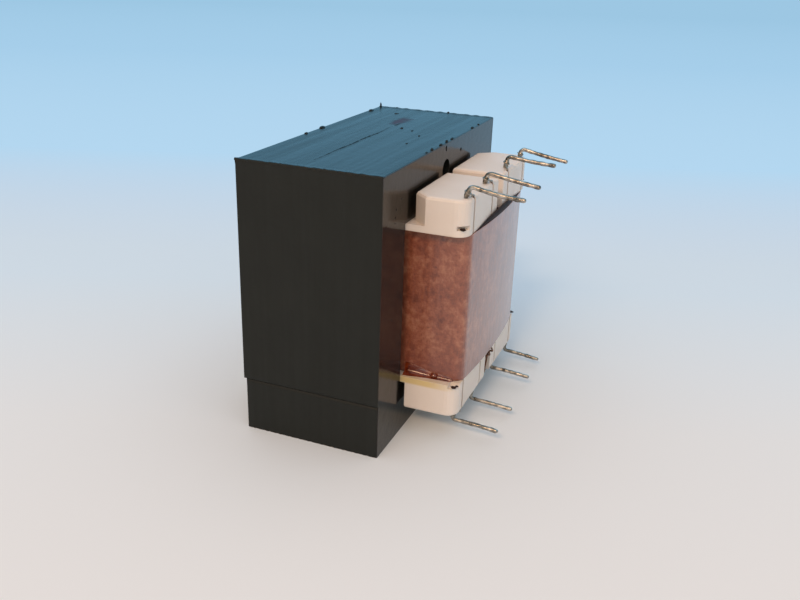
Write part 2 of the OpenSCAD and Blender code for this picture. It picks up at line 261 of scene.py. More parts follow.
class StageSettings(bpy.types.PropertyGroup):
    """Settings of the camera"""
    lens: FloatProperty(name="Focal length", default=38.3, min=10, max=200,
        description="Focal length of the camera, in millimetres")
    place: FloatVectorProperty(name="Camera place", size=3, subtype="TRANSLATION", unit="LENGTH",
        default=(0.05923, -0.14007, 0.07774), description="Where the camera stands")
    aim: FloatVectorProperty(name="Camera aim", size=3, subtype="DIRECTION",
        default=(-0.3364, 0.863, -0.377), description="Direction in which the camera looks")
    level: FloatVectorProperty(name="Camera right", size=3, subtype="DIRECTION",
        default=(0.9266, 0.3747, 0.0309), description="Direction to the right of the picture")


# ---------------------------------------------------------------- materials


def core_varnish(settings):
    """Black air-drying varnish over stacked steel laminations: glossy on the plates' flat faces,
    streaky and satin where it has run along the stack, and dull on the ends."""
    mat, tree = blank("black core varnish")
    at = add(tree, "TexCoord")["Object"]
    facing = add(tree, "SeparateXYZ", (add(tree, "NewGeometry")["Normal"],))
    flat = add(tree, "Math", (facing["X"],), operation="ABSOLUTE")[0]
    ends = add(tree, "Math", (facing["Y"],), operation="ABSOLUTE")[0]
    # Runs along the plates' edges, a millimetre or so wide, with finer ones between them
    drawn = add(tree, "Mapping", {"Vector": at, "Scale": (1, 1 / 26, 1 / 26)})[0]
    runs = add(tree, "TexNoise", {"Vector": drawn, "Scale": 1 / (1.5 * MM), "Detail": 3,
        "Roughness": 0.55})["Fac"]
    drawn = add(tree, "Mapping", {"Vector": at, "Scale": (1, 1 / 16, 1 / 16)})[0]
    fine = add(tree, "TexNoise", {"Vector": drawn, "Scale": 1 / (0.5 * MM), "Detail": 3,
        "Roughness": 0.55})["Fac"]
    peel = add(tree, "TexNoise", {"Vector": at, "Scale": 1 / (1.6 * MM), "Detail": 3,
        "Roughness": 0.55})["Fac"]
    cloud = add(tree, "TexNoise", {"Vector": at, "Scale": 1 / (7 * MM), "Detail": 3,
        "Roughness": 0.55})["Fac"]
    rough = add(tree, "Math", (runs, 0.2, settings.gloss), operation="MULTIPLY_ADD")[0]
    rough = add(tree, "Math", (ends, 0.36, rough), operation="MULTIPLY_ADD")[0]
    rough = add(tree, "Math", (flat, -0.13, rough), operation="MULTIPLY_ADD", use_clamp=True)[0]
    shade = add(tree, "Mix", {FACTOR: cloud, FROM: linear("#141713"), TO: linear("#1c1f1a")},
        data_type="RGBA")[MIXED]
    brown = add(tree, "Math", (flat, 0.6), operation="MULTIPLY")[0]
    shade = add(tree, "Mix", {FACTOR: brown, FROM: shade, TO: linear("#15110e")},
        data_type="RGBA")[MIXED]
    height = add(tree, "Math", (fine, 0.25, runs), operation="MULTIPLY_ADD")[0]
    up = add(tree, "Math", (facing["Z"], 0.8, 0.2), operation="MULTIPLY_ADD", use_clamp=True)[0]
    height = add(tree, "Math", (height, up), operation="MULTIPLY")[0]
    # A smear of dried varnish on top, dull and purplish: an ellipsoid with a ragged edge
    place = [c * MM for c in SMEAR_PLACE]
    place = add(tree, "VectorMath", (at, place), operation="SUBTRACT")["Vector"]
    place = add(tree, "Mapping", {"Vector": place, "Rotation": (0, 0, SMEAR_TURN),
        "Scale": [1 / (half * MM) for half in SMEAR_HALF]})[0]
    near = add(tree, "VectorMath", (place,), operation="LENGTH")["Value"]
    ragged = add(tree, "Math", (peel, 1.6, 0.3), operation="MULTIPLY_ADD")[0]
    smear = add(tree, "Math", (ragged, near), operation="SUBTRACT", use_clamp=True)[0]
    purple = add(tree, "Math", (smear, 0.85), operation="MULTIPLY")[0]
    shade = add(tree, "Mix", {FACTOR: purple, FROM: shade, TO: linear("#4a4560")},
        data_type="RGBA")[MIXED]
    rough = add(tree, "Math", (smear, 0.45, rough), operation="MULTIPLY_ADD", use_clamp=True)[0]
    skin = add(tree, "Bump", {"Height": height, "Distance": settings.streaks * MM})[0]
    skin = add(tree, "Bump", {"Height": peel, "Distance": 0.035 * MM, "Normal": skin})[0]
    shader = add(tree, "BsdfPrincipled", {"Base Color": shade, "Roughness": rough, "Normal": skin,
        "Specular IOR Level": 0.34})[0]
    add(tree, "OutputMaterial", {"Surface": shader})
    return mat


def stained(tree, at):
    """How far varnish has crept over the flanges: most beside the coil, fading within a
    millimetre or so, in blotches."""
    low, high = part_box("outer_wrap")
    z = add(tree, "SeparateXYZ", (at,))["Z"]
    below = add(tree, "Math", (z, low.z - 0.8 * MM), operation="SUBTRACT")[0]
    above = add(tree, "Math", (high.z + 0.5 * MM, z), operation="SUBTRACT")[0]
    near = add(tree, "Math", (below, above), operation="MINIMUM")[0]
    near = add(tree, "Math", (near, 1 / (1.2 * MM)), operation="MULTIPLY", use_clamp=True)[0]
    blotch = add(tree, "TexNoise", {"Vector": at, "Scale": 1 / (2.2 * MM), "Detail": 4,
        "Roughness": 0.55})["Fac"]
    blotch = add(tree, "Math", (blotch, 2.2, -0.65), operation="MULTIPLY_ADD", use_clamp=True)[0]
    return add(tree, "Math", (near, blotch), operation="MULTIPLY")[0]


def yellowed(tree, at):
    """How far thin yellow varnish has run over the lower flange's side, in a band under the
    fillet that fades towards the coil's front."""
    place = add(tree, "SeparateXYZ", (at,))
    low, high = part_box("varnish_fillet")
    band = add(tree, "Math", (place["Z"], low.z - 0.55 * MM), operation="SUBTRACT")[0]
    band = add(tree, "Math", (band,), operation="ABSOLUTE")[0]
    band = add(tree, "Math", (band, -1 / (0.35 * MM), 2.1), operation="MULTIPLY_ADD",
        use_clamp=True)[0]
    side = add(tree, "Math", (place["Y"], -1 / (0.5 * MM), (low.y + 0.6 * MM) / (0.5 * MM)),
        operation="MULTIPLY_ADD", use_clamp=True)[0]
    fade = add(tree, "Math", (place["X"], -1 / (5 * MM), high.x / (5 * MM) + 0.35),
        operation="MULTIPLY_ADD", use_clamp=True)[0]
    run = add(tree, "Math", (band, side), operation="MULTIPLY")[0]
    return add(tree, "Math", (run, fade), operation="MULTIPLY")[0]


def nylon():
    """Injection-moulded natural nylon: milky off-white with a soft sheen, faintly clouded, and
    stained by the varnish beside the coil."""
    mat, tree = blank("moulded nylon")
    at = add(tree, "TexCoord")["Object"]
    cloud = add(tree, "TexNoise", {"Vector": at, "Scale": 1 / (5 * MM), "Detail": 4,
        "Roughness": 0.55})["Fac"]
    grain = add(tree, "TexNoise", {"Vector": at, "Scale": 1 / (0.5 * MM), "Detail": 3,
        "Roughness": 0.55})["Fac"]
    colour = add(tree, "Mix", {FACTOR: cloud, FROM: linear("#e0d6c8"), TO: linear("#ece4da")},
        data_type="RGBA")[MIXED]
    colour = add(tree, "Mix", {FACTOR: stained(tree, at), FROM: colour, TO: linear("#c9a978")},
        data_type="RGBA")[MIXED]
    yellow = add(tree, "Math", (yellowed(tree, at), 0.85), operation="MULTIPLY")[0]
    colour = add(tree, "Mix", {FACTOR: yellow, FROM: colour, TO: linear("#d8c07a")},
        data_type="RGBA")[MIXED]
    rough = add(tree, "Math", (grain, 0.2, 0.34), operation="MULTIPLY_ADD")[0]
    skin = add(tree, "Bump", {"Height": grain, "Distance": 0.015 * MM})[0]
    shader = add(tree, "BsdfPrincipled", {"Base Color": colour, "Roughness": rough,
        "Normal": skin, "IOR": 1.53, "Subsurface Weight": 0.12, "Subsurface Scale": 1.2 * MM,
        "Subsurface Radius": (0.9, 0.7, 0.5)})[0]
    add(tree, "OutputMaterial", {"Surface": shader})
    return mat


def wrap_film():
    """Brown varnished wrap over the coil: a papery film soaked with varnish, mottled, creased up
    and down, with a soft gloss, with painted shade at its upper edge, and darker and redder
    towards its foot."""
    mat, tree = blank("varnished wrap")
    at = add(tree, "TexCoord")["Object"]
    cloud = add(tree, "TexNoise", {"Vector": at, "Scale": 1 / (4.5 * MM), "Detail": 5,
        "Roughness": 0.65})["Fac"]
    mottle = add(tree, "TexNoise", {"Vector": at, "Scale": 1 / (1.1 * MM), "Detail": 5,
        "Roughness": 0.7})["Fac"]
    specks = add(tree, "TexNoise", {"Vector": at, "Scale": 1 / (0.28 * MM), "Detail": 2,
        "Roughness": 0.55})["Fac"]
    drawn = add(tree, "Mapping", {"Vector": at, "Scale": (1, 1, 1 / 5)})[0]
    creases = add(tree, "TexNoise", {"Vector": drawn, "Scale": 1 / (1.2 * MM), "Detail": 3,
        "Roughness": 0.55})["Fac"]
    patch = add(tree, "Math", (cloud, 0.4), operation="MULTIPLY")[0]
    patch = add(tree, "Math", (mottle, 0.6, patch), operation="MULTIPLY_ADD")[0]
    colour = add(tree, "ValToRGB", (patch,),
        ((0.36, "#6a321d"), (0.5, "#8d4c31"), (0.62, "#aa6e50")))["Color"]
    dots = add(tree, "Math", (specks, 7.0, -4.4), operation="MULTIPLY_ADD", use_clamp=True)[0]
    dots = add(tree, "Math", (dots, 0.75), operation="MULTIPLY")[0]
    colour = add(tree, "Mix", {FACTOR: dots, FROM: colour, TO: linear("#4a241a")},
        data_type="RGBA")[MIXED]
    low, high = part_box("secondary_winding")
    z = add(tree, "SeparateXYZ", (at,))["Z"]
    # Painted shade: near black within a quarter millimetre above the windings' top, for the shaded
    # gap under the flange
    top_edge_shade = add(tree, "Math", (z, high.z), operation="SUBTRACT")[0]
    top_edge_shade = add(tree, "Math", (top_edge_shade, 1 / (0.25 * MM)), operation="MULTIPLY", use_clamp=True)[0]
    top_edge_shade = add(tree, "Math", (top_edge_shade, 0.9), operation="MULTIPLY")[0]
    colour = add(tree, "Mix", {FACTOR: top_edge_shade, FROM: colour, TO: linear("#2a1710")},
        data_type="RGBA")[MIXED]
    # Darker and redder towards the foot, over five millimetres
    foot = add(tree, "Math", (low.z + 5 * MM, z), operation="SUBTRACT")[0]
    foot = add(tree, "Math", (foot, 1 / (5 * MM)), operation="MULTIPLY", use_clamp=True)[0]
    foot = add(tree, "Math", (foot, 0.5), operation="MULTIPLY")[0]
    colour = add(tree, "Mix", {FACTOR: foot, FROM: colour, TO: linear("#6e2a16")},
        data_type="RGBA")[MIXED]
    rough = add(tree, "Math", (mottle, 0.25, 0.28), operation="MULTIPLY_ADD")[0]
    skin = add(tree, "Bump", {"Height": creases, "Distance": 0.12 * MM})[0]
    skin = add(tree, "Bump", {"Height": mottle, "Distance": 0.06 * MM, "Normal": skin})[0]
    shader = add(tree, "BsdfPrincipled", {"Base Color": colour, "Roughness": rough,
        "Normal": skin, "Coat Weight": 1.0, "Coat Roughness": 0.2, "Specular IOR Level": 0.6,
        "Sheen Weight": 0.3, "Sheen Roughness": 0.4, "Sheen Tint": linear("#e8eef6")})[0]
    add(tree, "OutputMaterial", {"Surface": shader})
    return mat


def varnish():
    """Clear varnish that has set amber brown in the corner under the coil, with a wet gloss."""
    mat, tree = blank("amber varnish")
    at = add(tree, "TexCoord")["Object"]
    cloud = add(tree, "TexNoise", {"Vector": at, "Scale": 1 / (1.5 * MM), "Detail": 4,
        "Roughness": 0.55})["Fac"]
    colour = add(tree, "ValToRGB", (cloud,),
        ((0.35, "#5a2110"), (0.55, "#7a3417"), (0.7, "#9c5a30")))["Color"]
    skin = add(tree, "Bump", {"Height": cloud, "Distance": 0.015 * MM})[0]
    shader = add(tree, "BsdfPrincipled", {"Base Color": colour, "Roughness": 0.08,
        "Normal": skin, "Coat Weight": 1.0, "Coat Roughness": 0.02, "Coat IOR": 1.8})[0]
    add(tree, "OutputMaterial", {"Surface": shader})
    return mat


def dark_painted_shade():
    """Painted shade for the shaded gap over the wrap's upper rim and for the slots: nearly black
    brown and dull.
    """
    mat, tree = blank("dark painted shade")
    at = add(tree, "TexCoord")["Object"]
    grain = add(tree, "TexNoise", {"Vector": at, "Scale": 1 / (0.8 * MM), "Detail": 4,
        "Roughness": 0.55})["Fac"]
    colour = add(tree, "Mix", {FACTOR: grain, FROM: linear("#1c100c"), TO: linear("#3a2218")},
        data_type="RGBA")[MIXED]
    skin = add(tree, "Bump", {"Height": grain, "Distance": 0.06 * MM})[0]
    shader = add(tree, "BsdfPrincipled", {"Base Color": colour, "Roughness": 0.6,
        "Specular IOR Level": 0.25, "Normal": skin})[0]
    add(tree, "OutputMaterial", {"Surface": shader})
    return mat


def enamelled_copper(leads=False):
    """Copper wire under clear enamel: a warm metal with a brownish gloss, ribbed by its turns on
    the coil. A lead is darker, and tinned grey where it leaves its block."""
    mat, tree = blank("enamelled lead wire" if leads else "enamelled copper wire")
    at = add(tree, "TexCoord")["Object"]
    z = add(tree, "SeparateXYZ", (at,))["Z"]
    tint = add(tree, "TexNoise", {"Vector": at, "Scale": 1 / (1.5 * MM), "Detail": 3,
        "Roughness": 0.55})["Fac"]
    dark, light = ("#5e3c2a", "#84583c") if leads else ("#a85a30", "#c47a48")
    colour = add(tree, "Mix", {FACTOR: tint, FROM: linear(dark), TO: linear(light)},
        data_type="RGBA")[MIXED]
    if leads:
        low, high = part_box("bobbin")
        past = add(tree, "Math", (z, (low.z + high.z) / 2), operation="SUBTRACT")[0]
        past = add(tree, "Math", (past,), operation="ABSOLUTE")[0]
        past = add(tree, "Math", (past, (high.z - low.z) / 2 - 0.1 * MM), operation="SUBTRACT")[0]
        past = add(tree, "Math", (past, 1 / (0.25 * MM)), operation="MULTIPLY", use_clamp=True)[0]
        colour = add(tree, "Mix", {FACTOR: past, FROM: colour, TO: linear("#9b958a")},
            data_type="RGBA")[MIXED]
        relief = tint
    else:
        relief = add(tree, "Math", (z, 2 * math.pi / (0.3 * MM)), operation="MULTIPLY")[0]
        relief = add(tree, "Math", (relief,), operation="SINE")[0]
    skin = add(tree, "Bump", {"Height": relief, "Distance": 0.03 * MM})[0]
    shader = add(tree, "BsdfPrincipled", {"Base Color": colour, "Metallic": 0.85,
        "Roughness": 0.38, "Normal": skin, "Coat Weight": 0.5, "Coat Roughness": 0.15})[0]
    add(tree, "OutputMaterial", {"Surface": shader})
    return mat


def insulation_film():
    """Amber polyester film between the windings: thin, smooth and glossy, slightly wrinkled."""
    mat, tree = blank("amber film")
    at = add(tree, "TexCoord")["Object"]
    drawn = add(tree, "Mapping", {"Vector": at, "Scale": (1, 1, 1 / 4)})[0]
    wrinkle = add(tree, "TexNoise", {"Vector": drawn, "Scale": 1 / (2.5 * MM), "Detail": 3,
        "Roughness": 0.55})["Fac"]
    colour = add(tree, "Mix", {FACTOR: wrinkle, FROM: linear("#c08a45"), TO: linear("#d8a860")},
        data_type="RGBA")[MIXED]
    skin = add(tree, "Bump", {"Height": wrinkle, "Distance": 0.08 * MM})[0]
    shader = add(tree, "BsdfPrincipled", {"Base Color": colour, "Roughness": 0.22,
        "Normal": skin})[0]
    add(tree, "OutputMaterial", {"Surface": shader})
    return mat


def kraft_paper():
    """Kraft paper pad soaked with varnish: brown and fibrous, with hardly any gloss."""
    mat, tree = blank("varnished kraft paper")
    at = add(tree, "TexCoord")["Object"]
    drawn = add(tree, "Mapping", {"Vector": at, "Scale": (1, 1 / 6, 1)})[0]
    fibres = add(tree, "TexNoise", {"Vector": drawn, "Scale": 1 / (0.4 * MM), "Detail": 4,
        "Roughness": 0.55})["Fac"]
    colour = add(tree, "Mix", {FACTOR: fibres, FROM: linear("#6e4a30"), TO: linear("#9a7350")},
        data_type="RGBA")[MIXED]
    skin = add(tree, "Bump", {"Height": fibres, "Distance": 0.05 * MM})[0]
    shader = add(tree, "BsdfPrincipled", {"Base Color": colour, "Roughness": 0.7,
        "Normal": skin})[0]
    add(tree, "OutputMaterial", {"Surface": shader})
    return mat


def tinned_wire():
    """Hot-tinned steel wire: a soft grey metal, slightly tarnished, with duller patches."""
    mat, tree = blank("tinned wire")
    at = add(tree, "TexCoord")["Object"]
    patch = add(tree, "TexNoise", {"Vector": at, "Scale": 1 / (1.3 * MM), "Detail": 4,
        "Roughness": 0.55})["Fac"]
    grain = add(tree, "TexNoise", {"Vector": at, "Scale": 1 / (0.3 * MM), "Detail": 3,
        "Roughness": 0.55})["Fac"]
    colour = add(tree, "ValToRGB", (patch,),
        ((0.32, "#6a665e"), (0.5, "#a09c94"), (0.66, "#d2cec6")))["Color"]
    rough = add(tree, "Math", (patch, 0.3, 0.16), operation="MULTIPLY_ADD")[0]
    skin = add(tree, "Bump", {"Height": grain, "Distance": 0.02 * MM})[0]
    shader = add(tree, "BsdfPrincipled", {"Base Color": colour, "Metallic": 1.0,
        "Roughness": rough, "Normal": skin})[0]
    add(tree, "OutputMaterial", {"Surface": shader})
    return mat


def solder():
    """Tin-lead solder that has wetted the wound lead: dull grey metal with brighter ridges."""
    mat, tree = blank("dull solder")
    at = add(tree, "TexCoord")["Object"]
    patch = add(tree, "TexNoise", {"Vector": at, "Scale": 1 / (0.5 * MM), "Detail": 4,
        "Roughness": 0.55})["Fac"]
    colour = add(tree, "ValToRGB", (patch,), ((0.35, "#6f685c"), (0.65, "#b4ada0")))["Color"]
    rough = add(tree, "Math", (patch, 0.3, 0.2), operation="MULTIPLY_ADD")[0]
    skin = add(tree, "Bump", {"Height": patch, "Distance": 0.04 * MM})[0]
    shader = add(tree, "BsdfPrincipled", {"Base Color": colour, "Metallic": 1.0,
        "Roughness": rough, "Normal": skin})[0]
    add(tree, "OutputMaterial", {"Surface": shader})
    return mat



# ---------------------------------------------------------------- pieces


def pin_root(i):
    """Root of pin i on its block's face, and the way out of the face: 1 up, -1 down."""
    base_low, base_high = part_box("bobbin")
    up = 1 if i <= 4 else -1
    row = MOUNTS[f"pin_{i}_shank"]["pos_m"][1]
    face = base_high.z if up == 1 else base_low.z
    return np.array([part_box(f"pin_{i}")[0].x + PIN_R * MM, row, face]) / MM, up


def out_of(i, local):
    """Points (forward, along the row, out of the block's face) from pin i's root, in the part's
    frame."""
    root, up = pin_root(i)
    return root + np.asarray(local, float) * [1, 1, up]


def pin_form(i):
    """Lean of pin i's root, height of its kink, length of its leaning root, the angle at which the
    bend ends, and the shank's length. The shank keeps its mount's line, so the root's length is
    where the bend's end, which moves up and forward with that length, meets the line."""
    root, up = pin_root(i)
    mount = MOUNTS[f"pin_{i}_shank"]
    middle = (np.array(mount["pos_m"]) / MM - root) * [1, 1, up]
    axis = np.array(mount["axis"]) * [1, 1, up]
    lean, turn = math.radians(PINS[i - 1][0]), math.acos(axis[2])
    kink = SOLDER_R * math.sin(lean)
    a = BEND_R * (math.cos(lean) - math.cos(turn))
    b = BEND_R * (math.sin(turn) - math.sin(lean)) + kink
    length = ((middle[0] - a) * axis[2] - (middle[2] - b) * axis[0]) / (
        math.sin(lean) * axis[2] - math.cos(lean) * axis[0])
    start = length * math.sin(lean) + a
    tip = middle[0] + axis[0] * mount["dims"]["length_mm"] / 2
    return lean, kink, length, turn, (tip - start) / axis[0]


def pin_path(i):
    """Middle line of pin i: a straight root, a kink, a leaning root, an arc and a shank whose sag
    is a half sine, and last the points over which the tip closes as half a sphere."""
    lean, kink, length, turn, reach = pin_form(i)
    seat = np.stack([np.zeros(5), np.zeros(5), np.linspace(-1.0, kink - KINK, 5)], 1)
    t = np.linspace(KINK / length, 1, 10)[:, None]
    root = np.array([0, 0, kink]) + t * length * np.array([math.sin(lean), 0, math.cos(lean)])
    a = np.linspace(lean, turn, 20)[1:]
    arc = root[-1] + BEND_R * np.stack(
        [math.cos(lean) - np.cos(a), 0 * a, np.sin(a) - math.sin(lean)], 1)
    axis = np.array([math.sin(turn), 0, math.cos(turn)])
    t = np.linspace(0, 1, 71)[1:]
    shank = arc[-1] + axis * reach * t[:, None]
    shank[:, 2] -= PINS[i - 1][1] * np.sin(math.pi * t)
    close = np.linspace(0, math.pi / 2, TIP_RINGS)[1:, None]
    tip = shank[-1] + axis * PIN_R * 0.9 * np.sin(close)
    return out_of(i, np.vstack([seat, root, arc, shank, tip]))


def pin_tube(i, settings):
    """Pin i, tinned: a tube round its path whose radius(s, a) is PIN_R * (1 + lump * (0.3 + 0.8 *
    w)), where w adds waves along s to waves along 0.8 s + 0.5 cos a. The tip's rings shrink as a
    cosine."""
    path = pin_path(i)
    s = lengths(path)[:, None]
    a = np.linspace(0, 2 * math.pi, 20, endpoint=False)[None]
    lumps = waves(s, settings.seed + i, 6, 0.9, 4.0) + 0.7 * waves(
        s * 0.8 + np.cos(a) * 0.5, settings.seed + 20 + i, 5, 0.8, 3.0)
    radius = PIN_R * (1 + settings.lump * (0.3 + 0.8 * lumps))
    close = np.linspace(0, math.pi / 2, TIP_RINGS)[:, None]
    radius[-TIP_RINGS:] *= np.cos(close) * 0.985 + 0.015
    return swept(path, radius, (0, 1, 0), 20)


def solder_tube(i):
    """Solder on pin i's leaning root. The wound lead's ridges show through it: the radius follows
    cos(2 pi s / 0.34 - a), on a swell 1 - |2 t - 1| ** 4 that is thickest at the middle, with a
    few waves."""
    lean, kink, length, _, _ = pin_form(i)
    t = np.linspace(0.05, 1.0, 40)[:, None]
    path = out_of(i, np.array([0, 0, kink])
        + t * length * np.array([math.sin(lean), 0, math.cos(lean)]))
    s = lengths(path)[:, None]
    t = s / s[-1]
    a = np.linspace(0, 2 * math.pi, 20, endpoint=False)[None]
    ridge = 0.5 + 0.5 * np.cos(2 * math.pi * s / 0.34 - a)
    swell = (1 - np.abs(2 * t - 1) ** 4) * (0.8 + 0.3 * waves(s * 3 + i, 61 + i, 4, 1, 4))
    radius = PIN_R + 0.01 + (SOLDER_R - PIN_R) * swell * (0.5 + 0.5 * ridge)
    return swept(path, radius, (0, 1, 0), 20)


def lead_path(i):
    """Middle line of the lead of pin i, a spline: up a groove in the block's front, or out of the
    notch between the blocks, then over the block's edge and round the pin's root. Its points are
    forward, along the row and out of the block's face."""
    lean, kink, length, _, _ = pin_form(i)
    row = pin_root(i)[0][1]
    s = -math.copysign(1, row)
    middle = length / 2
    rest = LEAD_R + 0.05
    end = [middle * math.sin(lean), s * 0.56, max(rest, kink + middle * math.cos(lean))]
    if i in (6, 7):
        y = s * (abs(row) - 0.8)
        points = [[0.8, y, -7.15], [0.8, y, -6.2], [1.25, y, -5.67], [1.7, y - s * 0.1, -4.6],
            [1.25, y - s * rest, -4.46], [0.8, y - s * rest, -3.68], [0.4, y - s * rest, -rest],
            [0.4, y - s * 0.3, rest], [0.2, y - s * 0.7, rest + 0.1],
            [end[0], (y + end[1]) / 2, end[2]], end]
    else:
        y = s * 1.5
        points = [[0.8, y, -7.15], [0.8, y, -2.45], [0.8, y, -rest], [0.8, y, rest],
            [0.68, y * 0.85, rest + 0.05], end]
    # One turn round the root
    a = np.linspace(0.3, 2 * math.pi * 0.95, 10) + (0 if s == 1 else math.pi)
    r = PIN_R + LEAD_R * 0.75
    climb = middle + 0.3 * (a - a[0]) / (2 * math.pi)
    wound = np.stack([climb * math.sin(lean) + r * math.cos(lean) * np.sin(a) * s, r * np.cos(a),
        kink + climb * math.cos(lean) - r * math.sin(lean) * np.sin(a) * s], 1)
    return out_of(i, spline(np.vstack([points, wound]), 7))


def varnish_coat(outline, box, seed, bead):
    """Varnish over the stacked edges of plates: point(s, x) = outline(s) + out(s) * h(s, x), where
    h is a thin coat, runs along the stack (a sum of sines in x that wander slowly with s), and a
    bead where the outline turns. Towards the box's ends along x h falls on a quarter circle, and
    the rim goes in."""
    x0, x1 = box[0].x / MM, box[1].x / MM
    # A row close to each end keeps the ends' fall steep
    outline = np.vstack([outline[:1], 0.9 * outline[:1] + 0.1 * outline[1:2], outline[1:-1],
        0.9 * outline[-1:] + 0.1 * outline[-2:-1], outline[-1:]])
    s = lengths(outline)
    along = np.gradient(outline, axis=0)
    along /= np.linalg.norm(along, axis=1, keepdims=True)
    out = np.stack([-along[:, 1], along[:, 0]], 1)
    turns = np.linalg.norm(np.gradient(along, axis=0), axis=1) > 0.05
    corner = 0 * s
    if turns.any():
        corner = np.exp(-((s[:, None] - s[None, turns]) ** 2).min(1) / 0.18)
    x = np.linspace(x0 + 0.2, x1 - 0.2, 104)
    wander = 0.5 * waves(s, seed, 4, 12, 40)
    h = COAT + 0.022 * waves(x[None] + wander[:, None], seed + 1, 9, 0.9, 3.5)
    h += 0.012 * waves(s[:, None] * 0.4 + x[None] * 2.3, seed + 2, 8, 1.5, 6)
    h += bead * corner[:, None] * (0.55 + 0.45 * waves(x, seed + 3, 7, 0.7, 3.0))[None]
    a = np.radians([0, 22, 45, 68])
    rim_x = np.concatenate([[0.1], COAT_RIM * (1 - np.cos(a)) - COAT_PAST])
    rim_h = np.concatenate([[-COAT_IN], -COAT_RIM * (1 - np.sin(a))])
    h = np.hstack([h[:, :1] + rim_h, h, h[:, -1:] + rim_h[::-1]])
    x = np.concatenate([x0 + rim_x, x, x1 - rim_x[::-1]])
    h[0] = h[-1] = -COAT_IN
    yz = outline[:, None] + out[:, None] * h[..., None]
    points = np.stack([np.broadcast_to(x, h.shape), yz[..., 0], yz[..., 1]], -1)
    return points.reshape(-1, 3), grid_faces(*h.shape)


def edge_line(corners, step=0.6, r=0.3):
    """Points along a polyline in the Y-Z plane, its corners rounded on arcs of radius r."""
    c = np.asarray(corners, float)
    parts = []
    for k in range(len(c) - 1):
        d = (c[k + 1] - c[k]) / np.linalg.norm(c[k + 1] - c[k])
        a = c[k] + d * (r if k else 0)
        b = c[k + 1] - d * (r if k < len(c) - 2 else 0)
        n = max(2, int(np.linalg.norm(b - a) / step))
        parts.append(a + (b - a) * np.linspace(0, 1, n)[:, None])
        if k < len(c) - 2:
            e = (c[k + 2] - c[k + 1]) / np.linalg.norm(c[k + 2] - c[k + 1])
            t = np.linspace(0, math.pi / 2, 8)[1:-1, None]
            parts.append(b + r * (d * np.sin(t) + e * (1 - np.cos(t))))
    return np.vstack(parts)


def core_coats():
    """The coats over the upper stack, with a bead at its corners, and over each end of the lower
    one, as one mesh."""
    e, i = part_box("e_laminations"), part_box("i_laminations")
    y0, y1, seam, top = e[0].y / MM, e[1].y / MM, e[0].z / MM, e[1].z / MM
    coats = (([(y0, seam + 0.05), (y0, top), (y1, top), (y1, seam + 0.05)], e, 0.2),
        ([(y0, 0.08), (y0, seam - 0.05)], i, 0), ([(y1, seam - 0.05), (y1, 0.08)], i, 0))
    made = [varnish_coat(edge_line(corners), box, 11 + 7 * n, bead)
        for n, (corners, box, bead) in enumerate(coats)]
    first = np.cumsum([0] + [len(points) for points, _ in made])
    return (np.vstack([points for points, _ in made]),
        [np.vstack([faces + start for (_, faces), start in zip(made, first)])])


def edge_strip():
    """A thick line of varnish along the core's near upper edge: a tube whose radius is 0.2 and
    0.1 of waves along x."""
    low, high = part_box("e_laminations")
    x = np.linspace(high.x / MM, low.x / MM, 150)
    r = 0.2 + 0.1 * waves(x, 41, 7, 0.8, 4.0)
    path = np.stack([x, np.full(150, low.y / MM + 0.02), np.full(150, high.z / MM)], 1)
    return swept(path, r[:, None], (0, 0, 1), 12)


def top_ridge():
    """A ridge of varnish along the core's top: a tube that wanders by 0.25 of waves, its radius
    0.13 and 0.06 of waves, times the root of a half sine from end to end."""
    start, end = RIDGE_ENDS
    y = np.linspace(start, end, 160)
    taper = np.sqrt(np.clip(np.sin(math.pi * (y - start) / (end - start)), 0.02, 1))
    r = (0.13 + 0.06 * waves(y, 43, 6, 1.5, 7.0)) * taper
    top = np.full(160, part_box("e_laminations")[1].z / MM + 0.02)
    path = np.stack([RIDGE_X + 0.25 * waves(y, 44, 4, 8, 30), y, top], 1)
    return swept(path, r[:, None], (0, 0, 1), 10)


def drops(places, seed):
    """Beads, each a sphere's grid, point(a, b) = place + size * (cos a sin b,
    sin a sin b, cos b), its radius swollen by a few waves: set varnish on the core and the fillet,
    and blobs of painted shade in the slots. Places are x, y, z, three sizes."""
    p = np.asarray(places, float)
    rings, sides = 6, 12
    a = np.linspace(0, 2 * math.pi, sides, endpoint=False)[None]
    b = np.linspace(0, math.pi, rings + 2)[1:-1, None]
    ring = np.stack([np.cos(a) * np.sin(b), np.sin(a) * np.sin(b),
        np.broadcast_to(np.cos(b), (rings, sides))], -1).reshape(-1, 3)
    unit = np.vstack([ring, [[0, 0, 1], [0, 0, -1]]])
    along = unit[None] @ np.array([1.0, 0.7, 0.4]) * 2 + np.arange(len(p))[:, None] * 9
    swell = 1 + 0.2 * waves(along, seed, 5, 1, 4)
    points = p[:, None, :3] + p[:, None, 3:] * unit[None] * swell[..., None]
    shift = np.arange(len(p))[:, None, None] * len(unit)
    return points.reshape(-1, 3), [(part[None, :, ::-1] + shift).reshape(-1, part.shape[1])
        for part in tube_faces(rings, sides)]


def core_drops():
    """Beads and burrs on the core's upper edges and top, drips by the hole, and bubbles on the
    near leg."""
    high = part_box("e_laminations")[1]
    top, front = high.z / MM, high.x / MM
    places = [(x, y, top + 0.03, *size) for x, y, *size in TOP_BEADS]
    places += [(front + 0.02, y, z, *size) for y, z, *size in DRIPS]
    places += [(front, y, z, 0.09, r, r) for y, z, r in BUBBLES]
    return drops(places, 51)


def slot_shade_blobs():
    """Blobs of painted shade, dark brown, in the slots at the bobbin's front corners, and a fleck
    of it by each lower one.
    """
    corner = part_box("bobbin")[1]
    x, y = corner.x / MM - 0.75, corner.y / MM - 0.3
    places = [(x, s * y, z, 0.5, 0.24, 0.26) for s in (-1, 1) for z in SLOT_HEIGHTS]
    places += [(x + 0.5, s * (y - 0.35), 10.6, 0.3, 0.3, 0.12) for s in (-1, 1)]
    return drops(places, 83)


